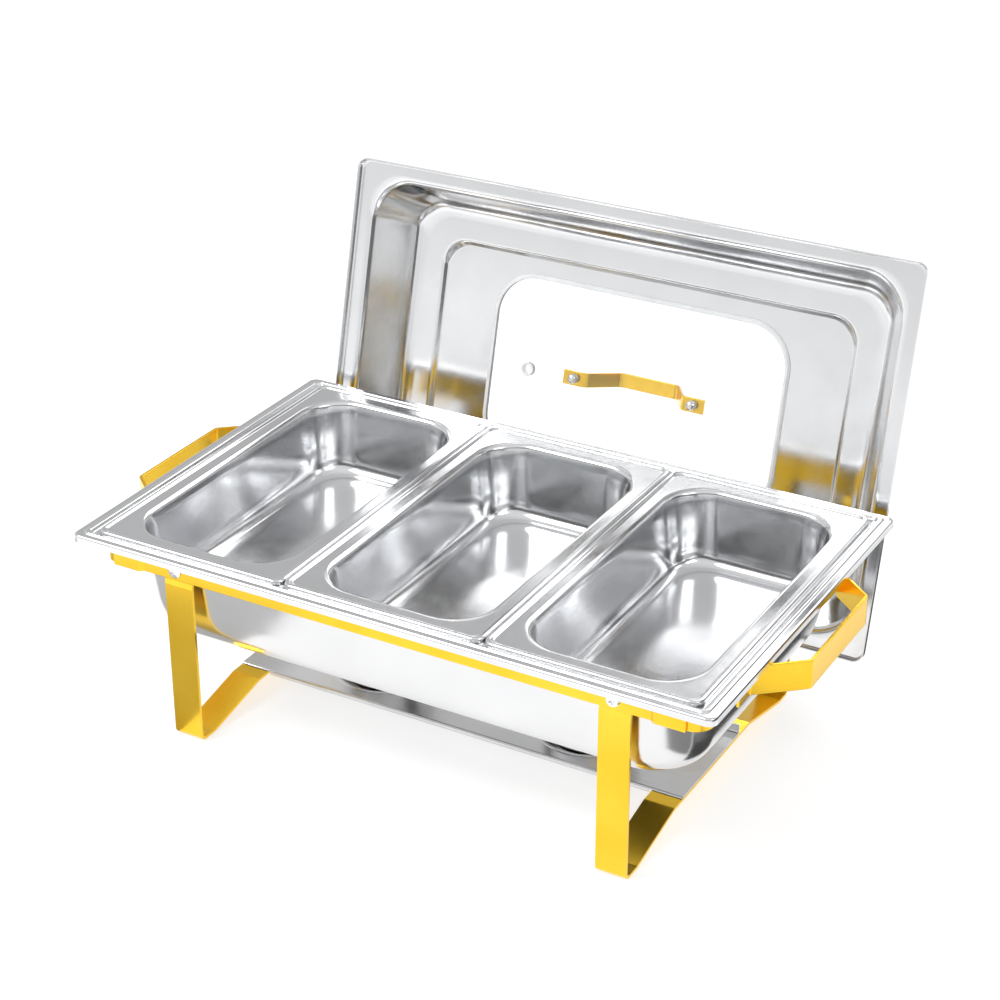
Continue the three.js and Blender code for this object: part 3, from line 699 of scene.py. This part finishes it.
def build_shelf():
    low, high = box_mm("burner_shelf")
    cup_left, cup_right = middle_mm("fuel_cup_left"), middle_mm("fuel_cup_right")
    front, rear = low.y + SHELF_SHEET / 2, high.y - SHELF_SHEET / 2
    sheet_middle = CRADLE_TOP + GAP + SHELF_SHEET / 2
    corners = [(front, sheet_middle - SHELF_FRONT_LIP, 0), (front, sheet_middle, 1.4),
               (rear, sheet_middle, 2), (rear, high.z, 0)]
    shape = sweep(rounded_profile(corners), high.x - low.x, SHELF_SHEET)
    obj = mesh_object("burner_shelf_fine", shape, UV_TO_UPRIGHT)
    for side, sign in SIDES:
        leg = middle_mm(f"leg_{side}")
        notch = block((SHELF_NOTCH, 8, 2 * SHELF_FRONT_LIP),
                      (leg.x + sign, front, CRADLE_TOP + GAP - SHELF_FRONT_LIP))
        combine(obj, notch, Matrix.Identity(4), "DIFFERENCE")
    top = sheet_middle + SHELF_SHEET / 2
    bottom = top - WELL_DEPTH
    radius = WELL_RADIUS
    for cup in (cup_left, cup_right):
        hole = turned([(0, -6, 0), (radius + 1, -6, 0), (radius + 1, 6, 0), (0, 6, 0)])
        place = Matrix.Translation((cup.x, cup.y, sheet_middle))
        combine(obj, hole, place, "DIFFERENCE")
        well = turned([
            (0, bottom - SHELF_SHEET, 0), (radius - 5, bottom - SHELF_SHEET, 2),
            (radius - 1.6, bottom, 1), (radius + 0.6, top - SHELF_SHEET, 0.4),
            (radius + 3, top - SHELF_SHEET / 2, 0.3),
            (radius + 2, top + 1, 0.8), (radius, top + 1, 0.8), (radius - 2.4, bottom + 1, 1),
            (radius - 5.4, bottom, 2), (0, bottom, 0)])
        combine(obj, well, Matrix.Translation((cup.x, cup.y, 0)), "UNION")
    finish_piece(obj, "burner_shelf", "shelf", "satin_steel", SATIN, edge=0.25, edge_steps=2)


def build_fuel_cup(side):
    node = f"fuel_cup_{side}"
    low, high = box_mm(node)
    outer = (high.x - low.x) / 2 - CUP_BEAD
    rim = high.z - low.z
    bead = outer + CUP_BEAD
    corners = [(0, 0, 0), (outer - 4, 0, 3), (outer - 0.5, 3.5, 3), (outer, 8, 3),
               (outer, rim - 2, 0.9), (bead, rim - 1.2, 0.5), (bead, rim, 0.4), (outer - 1, rim, 0.6),
               (outer - 1, 8, 3), (outer - 1.5, 4.5, 3), (outer - 4.6, 1, 3), (0, 1, 0)]
    centre = middle_mm(node)
    place = Matrix.Translation((centre.x, centre.y, low.z))
    piece(node, turned(corners), node, "satin_steel", SATIN, place)


def build_fuel_cover(side):
    node = f"fuel_cover_{side}"
    low, high = box_mm(node)
    edge = (high.x - low.x) / 2
    corners = [(0, 2.5, 0), (edge - 9, 2.5, 0.6), (edge - 7, 0, 0.5), (edge - 6, 0, 0.4),
               (edge - 6, 2.5, 0.4), (edge, 2.5, 0.3), (edge, 3.5, 0.4), (edge - 8, 4.1, 4),
               (8, 5.5, 3), (5, 7, 1.5),
               (6.5, 11.5, 1.5), (4, 14, 2), (0, 14.5, 0)]
    centre = middle_mm(node)
    place = Matrix.Translation((centre.x, centre.y, low.z))
    piece(node, turned(corners), node, "satin_steel", SATIN, place)


build_shelf()
for side_name, _ in SIDES:
    build_fuel_cup(side_name)
    build_fuel_cover(side_name)


# ---------------------------------------------------------------- pans

def rings_in(half_x, half_y, top, rows):
    """Rows of [inset x, inset y, drop below the top, corner radius, bend] as rings."""
    return [(half_x - inset_x, half_y - inset_y, top - drop, radius, bend)
            for inset_x, inset_y, drop, radius, bend in rows]


def build_water_pan():
    low, high = box_mm("water_pan")
    centre = (low + high) / 2
    half_x, half_y = (high.x - low.x) / 2, (high.y - low.y) / 2
    depth = high.z - low.z
    rows = [
        (0, 0, 7.7, 7.5, 0), (0, 0, 2.6, 7.5, 1), (1.4, 1.4, 1.4, 6.2, 0.9), (6.6, 5.4, 1.4, 6, 0.7),
        (8, 6.6, 0, 5.6, 0.7), (10.8, 8.4, 0, 5, 0.9), (13, 10.4, 3.2, 4, 0.9), (24, 24.6, 3.2, 30, 2.5),
        (27.4, 27.4, 5.8, 34, 1.6), (29.4, 29.1, 15.2, 40, 4), (34, 33, depth - 27.5, 44, 6),
        (37, 36, depth - 15, 44, 6), (44, 43, depth - 5, 40, 6), (56, 55, depth - 1, 34, 0),
    ]
    shape = drawn_sheet(rings_in(half_x, half_y, high.z, rows), WATER_SHEET)
    place = Matrix.Translation((centre.x, centre.y, 0))
    piece("water_pan", shape, "water_pan", "polished_steel", STEEL, place, smooth=50)


def build_food_pan(name):
    node = f"food_pan_{name}"
    low, high = box_mm(node)
    centre = (low + high) / 2
    half_x, half_y = (high.x - low.x) / 2, (high.y - low.y) / 2
    depth = high.z - low.z
    rows = [
        (0, 0, 3.8, 9, 0), (0, 0, 1.2, 9, 0.9), (1.2, 1.2, 0, 8, 0.8), (3.4, 3.4, 0, 7, 0.9),
        (5, 5, 1.6, 7, 0.9), (14.7, 15.8, 1.6, 38, 2), (17.3, 18.4, 3.8, 36, 1.4),
        (18.7, 19.8, 9.8, 35, 3), (23.7, 24.8, depth - 12.3, 32, 6), (27.2, 28.3, depth - 4.3, 30, 5),
        (34.7, 35.8, depth - 0.8, 25, 0),
    ]
    shape = drawn_sheet(rings_in(half_x, half_y, high.z, rows), PAN_SHEET)
    place = Matrix.Translation((centre.x, centre.y, 0))
    piece(node, shape, node, "polished_steel", STEEL, place, smooth=50)


build_water_pan()
for pan_name in ("left", "centre", "right"):
    build_food_pan(pan_name)


# ---------------------------------------------------------------- lid, in its own axes

VENT_X = middle_mm("steam_vent_grommet").x


def lid_piece(node, shape, slot, material, x=0.0, **finish):
    place = LID_PLACE @ Matrix.Translation((x, 0, 0))
    return piece(node, shape, "lid", slot, material, place, **finish)


def build_lid_shell():
    flange = LID_SHEET
    x, y = box_mm("lid_shell")[1].x, LID_HALF_Y
    opening = [size + GAP for size in WINDOW]
    rings = [
        (x, y, flange - 7, 10, 0), (x, y, flange - 2, 10, 1.2),
        (x - 2, y - 2, flange, 8, 1.2),
        (x - 13.6, y - 13.6, flange, 40, 3), (x - 16.8, y - 16.8, flange + 3, 38, 2.4),
        (x - 35.5, y - 31, PLATEAU - 12, 30, 5), (x - 39, y - 33.5, PLATEAU - 6.5, 28, 4),
        (x - 46, y - 40.5, PLATEAU - 4, 26, 5), (x - 66, y - 64, PLATEAU - 4, 25, 1.5),
        (x - 70, y - 68, PLATEAU, 24, 1.5), (opening[0], opening[1], PLATEAU, opening[2], 0),
    ]
    lid_piece("lid_shell", drawn_sheet(rings, LID_SHEET, True), "polished_steel", STEEL, smooth=50)


def build_gasket():
    sheet_top, sheet_bottom = PLATEAU + GAP, PLATEAU - LID_SHEET - GAP
    glass_top, glass_bottom = GLASS_MIDDLE + GLASS_HALF + GAP, GLASS_MIDDLE - GLASS_HALF - GAP
    lip, reach = GASKET_LIP, GASKET_REACH
    section = [
        (lip, sheet_top), (lip - 0.1, sheet_top + 0.4), (1, sheet_top + 0.8), (0, glass_top + 0.7),
        (-1, glass_top + 0.8), (0.3 - reach, glass_top + 0.7), (-reach, glass_top + 0.4),
        (-reach, glass_top),
        (-1, glass_top), (-1, glass_bottom), (-reach, glass_bottom), (-reach, glass_bottom - 0.4),
        (0.3 - reach, glass_bottom - 0.7), (-1, glass_bottom - 0.8), (0, glass_bottom - 0.7),
        (1, sheet_bottom - 0.8), (lip - 0.1, sheet_bottom - 0.4), (lip, sheet_bottom), (0, sheet_bottom),
        (0, sheet_top),
    ]
    rings = [(WINDOW[0] + out, WINDOW[1] + out, z, WINDOW[2] + out) for out, z in section]
    lid_piece("lid_window_gasket", loft([Vector(ring) for ring in rings], True), "silicone", SILICONE,
              smooth=48)


def cut_lid_hole(obj, x, radius):
    shape = turned([(0, 20, 0), (radius, 20, 0), (radius, 110, 0), (0, 110, 0)], 48)
    combine(obj, shape, LID_PLACE @ Matrix.Translation((x, 0, 0)), "DIFFERENCE")


def build_glass():
    inset = 1 + GAP
    x, y, radius = (size - inset for size in WINDOW)
    chamfer = 0.5
    face = (x - chamfer, y - chamfer, radius - chamfer)
    rings = [(face[0], face[1], GLASS_BOTTOM, face[2]), (x, y, GLASS_BOTTOM + chamfer, radius),
             (x, y, GLASS_TOP - chamfer, radius), (face[0], face[1], GLASS_TOP, face[2])]
    obj = mesh_object("lid_window_glass_fine", loft([Vector(ring) for ring in rings], False), LID_PLACE)
    for hole_x, hole_radius in ((-LID_SCREW_X, 3), (LID_SCREW_X, 3), (VENT_X, VENT_HOLE)):
        cut_lid_hole(obj, hole_x, hole_radius)
    finish_piece(obj, "lid_window_glass", "lid", "clear_glass", GLASS)


def build_lid_handle():
    foot = HANDLE_FOOT + LID_HANDLE_THICKNESS / 2
    grip = foot + LID_HANDLE_RISE
    corners = [(-69, foot, 0), (-48, foot, 7), (-28, grip, 8)]
    corners += [(-x, z, bend) for x, z, bend in reversed(corners)]
    shape = sweep(rounded_profile(corners, 8), LID_HANDLE_WIDTH, LID_HANDLE_THICKNESS)
    obj = mesh_object("lid_handle_fine", shape, LID_PLACE @ UV_TO_LONG)
    for x in (-LID_SCREW_X, LID_SCREW_X):
        cut_lid_hole(obj, x, 2.4)
    finish_piece(obj, "lid_handle", "lid", "gold_strap", GOLD, edge=0.4)


def build_lid_hardware(side, sign):
    x = sign * LID_SCREW_X
    shank_top = HANDLE_FOOT + LID_HANDLE_THICKNESS + GAP + 3
    seat = GLASS_BOTTOM - GAP
    node = f"lid_screw_{side}"
    screw = turned([(0, seat - 2.6, 0), (2.1, seat - 2.4, 1.6), (3.6, seat - 1.4, 1.2),
                    (4.1, seat - 0.5, 0.4), (4.1, seat, 0.15), (2, seat, 0),
                    (2, shank_top - 0.4, 0), (1.6, shank_top, 0), (0, shank_top, 0)])
    place = LID_PLACE @ Matrix.Translation((x, 0, 0))
    obj = mesh_object(node + "_fine", screw, place)
    for turn in (0.5, 0.5 + math.pi / 2):
        cross = block((3.4, 0.9, 2), (0, 0, seat - 2.5))
        combine(obj, cross, place @ Matrix.Rotation(turn, 4, "Z"), "DIFFERENCE")
    finish_piece(obj, node, "lid", "chrome_hardware", CHROME, edge=0.1, edge_steps=2)
    low = GLASS_TOP + GAP
    washer = turned([(2.6, low, 0), (4, low, 0), (4.3, low + 0.3, 0), (4.3, low + 0.9, 0),
                     (4, low + 1.2, 0), (2.6, low + 1.2, 0)], closed=True)
    lid_piece(f"lid_washer_{side}", washer, "silicone", SILICONE, x)
    bottom = HANDLE_FOOT + LID_HANDLE_THICKNESS + GAP
    cap = turned([(0, bottom + 3.6, 0), (2.4, bottom + 3.6, 0), (2.4, bottom, 0), (4.2, bottom, 0.1),
                  (4.4, bottom + 0.4, 0.2), (4.4, bottom + 2.8, 0.6), (3.6, bottom + 4.9, 1.5),
                  (1.8, bottom + 6.15, 1.5), (0, bottom + 6.4, 0)])
    lid_piece(f"lid_cap_nut_{side}", cap, "chrome_hardware", CHROME, x)


def build_vent():
    low, high = GLASS_BOTTOM - GAP, GLASS_TOP + GAP
    section = [(4.4, low - 0.8), (5.9, low - 0.8), (6.2, low - 0.5), (6.2, low), (4.9, low), (4.9, high),
               (6.2, high), (6.2, high + 0.5), (5.9, high + 0.8), (4.4, high + 0.8), (4.2, high + 0.6),
               (4.2, low - 0.6)]
    shape = turned([(radius, z, 0) for radius, z in section], closed=True)
    lid_piece("steam_vent_grommet", shape, "silicone", SILICONE, VENT_X)


build_lid_shell()
build_gasket()
build_glass()
build_lid_handle()
for side_name, side_sign in SIDES:
    build_lid_hardware(side_name, side_sign)
build_vent()


# ---------------------------------------------------------------- floor, light and camera

def build_floor():
    m = Nodes("floor")
    space = m.coordinates("Object", (1, 1, 1))
    m.join(m.ramp(m.noise(space, 3, 3), (0.3, (0.50, 0.50, 0.50)), (0.7, (0.53, 0.53, 0.53))),
           m.shader.inputs["Base Color"])
    m.set(Roughness=0.6, Emission_Color=(1, 1, 1, 1), Emission_Strength=0.62)
    bpy.ops.mesh.primitive_plane_add(size=FLOOR_SIZE, location=(0, 0, -0.0002))
    floor = bpy.context.object
    floor.name = "floor"
    floor.data.materials.append(m.material)


def build_world():
    """A white studio: bright low in front, softer overhead and behind the lid."""
    world = bpy.data.worlds.new("studio")
    bpy.context.scene.world = world
    world.use_nodes = True
    tree = world.node_tree
    source = tree.nodes.new("ShaderNodeTexCoord")
    parts = tree.nodes.new("ShaderNodeSeparateXYZ")
    ramp = tree.nodes.new("ShaderNodeValToRGB")
    tree.links.new(source.outputs["Generated"], parts.inputs["Vector"])
    tree.links.new(parts.outputs["Z"], ramp.inputs["Fac"])
    stops = ((0.0, 1.0), (0.12, 1.0), (0.42, 0.85), (0.8, 0.95))
    while len(ramp.color_ramp.elements) < len(stops):
        ramp.color_ramp.elements.new(0.5)
    for element, (position, value) in zip(ramp.color_ramp.elements, stops):
        element.position = position
        element.color = (value, value, value, 1)
    depth = tree.nodes.new("ShaderNodeMapRange")
    depth.inputs["From Min"].default_value = -0.2
    depth.inputs["From Max"].default_value = 0.85
    depth.inputs["To Min"].default_value = WORLD_FRONT
    depth.inputs["To Max"].default_value = WORLD_BACK
    tree.links.new(parts.outputs["Y"], depth.inputs["Value"])
    background = tree.nodes["Background"]
    tree.links.new(ramp.outputs["Color"], background.inputs["Color"])
    tree.links.new(depth.outputs["Result"], background.inputs["Strength"])


def painted_reflection_card(name, corners, shade, glow):
    """A grey or glowing card that only the polished metal sees: a painted reflection, where grey cards
    paint shade into the metal and glowing ones paint highlights.
    """
    m = Nodes(name)
    space = m.coordinates("Object", (1, 1, 1))
    darker, lighter = (shade * 0.9,) * 3, (shade,) * 3
    m.join(m.ramp(m.noise(space, 4, 2), (0.3, darker), (0.7, lighter)), m.shader.inputs["Base Color"])
    m.set(Roughness=0.9, Emission_Color=(1, 1, 1, 1), Emission_Strength=glow)
    mesh = bpy.data.meshes.new(name)
    mesh.from_pydata(corners, [], [(0, 1, 2, 3)])
    mesh.materials.append(m.material)
    card = bpy.data.objects.new(name, mesh)
    bpy.context.collection.objects.link(card)
    card.visible_camera = False
    card.visible_diffuse = False
    card.visible_shadow = False
    card.visible_transmission = False


def area_light(name, place, target, size, power):
    data = bpy.data.lights.new(name, "AREA")
    data.shape = "RECTANGLE"
    data.size, data.size_y = size
    data.energy = power
    light = bpy.data.objects.new(name, data)
    bpy.context.collection.objects.link(light)
    light.location = place
    light.visible_camera = False
    light.rotation_euler = (Vector(target) - Vector(place)).to_track_quat("-Z", "Y").to_euler()


def build_camera():
    azimuth, elevation = math.radians(CAMERA_AZIMUTH), math.radians(CAMERA_ELEVATION)
    back = Vector((math.sin(azimuth) * math.cos(elevation), -math.cos(azimuth) * math.cos(elevation),
                   math.sin(elevation)))
    data = bpy.data.cameras.new("camera")
    data.lens = CAMERA_LENS
    data.sensor_width = 36
    camera = bpy.data.objects.new("camera", data)
    bpy.context.collection.objects.link(camera)
    camera.location = CAMERA_TARGET + back * CAMERA_DISTANCE
    camera.rotation_euler = (-back).to_track_quat("-Z", "Y").to_euler()
    bpy.context.scene.camera = camera


build_floor()
build_world()

# Each card: name, four corners, shade, and how much it glows. The cards are painted reflections: the
# grey ones paint shade into the metal, and card_lid glows to paint a highlight on the lid.
ON_FLOOR = 0.001
CARDS = (
    ("card_right", [(0.62, -0.45, 0), (0.62, 0.5, 0), (0.62, 0.5, 0.5), (0.62, -0.45, 0.5)], 0.12, 0),
    ("card_beside_pan", [(0.27, -0.16, ON_FLOOR), (0.37, -0.16, ON_FLOOR), (0.37, 0.45, ON_FLOOR),
                         (0.27, 0.45, ON_FLOOR)], 0.05, 0),
    ("card_corner", [(0.30, -0.34, ON_FLOOR), (0.47, -0.34, ON_FLOOR), (0.47, -0.165, ON_FLOOR),
                     (0.30, -0.165, ON_FLOOR)], 0.22, 0),
    ("card_front_left", [(-0.62, -0.42, ON_FLOOR), (-0.22, -0.42, ON_FLOOR), (-0.20, -0.16, ON_FLOOR),
                         (-0.62, -0.16, ON_FLOOR)], 0.50, 0),
    # card_lid glows though it is no lamp: a painted highlight on the lid's steel.
    ("card_lid", [(-2.2, -1, 0), (0.1, -2.1, 0), (0.1, -2.1, 0.4), (-2.2, -1, 0.4)], 0.2, 0.92),
    ("card_front_high", [(-3, -3, 1), (3, -3, 1), (3, -3, 2.1), (-3, -3, 2.1)], 0.10, 0),
    ("card_right_high", [(2.6, -3, 0.9), (2.6, 3, 0.9), (2.6, 3, 1.8), (2.6, -3, 1.8)], 0.10, 0),
)
for card_name, card_corners, card_shade, card_glow in CARDS:
    painted_reflection_card(card_name, card_corners, card_shade, card_glow)

# Each light: name, place, what it points at, size, power.
LIGHTS = (
    ("key", (-1.5, -1.4, 2.6), (0, 0, 0.1), (1.8, 1.4), 50),
    ("fill", (2.2, -0.6, 1.8), (0, 0, 0.1), (1.2, 1.2), 12),
    ("back", (0.3, 2.4, 2.2), (0, 0, 0.2), (2.4, 1.0), 22),
)
for light_name, light_place, light_target, light_size, light_power in LIGHTS:
    area_light(light_name, light_place, light_target, light_size, light_power)
build_camera()
bpy.context.scene.view_settings.view_transform = "Standard"
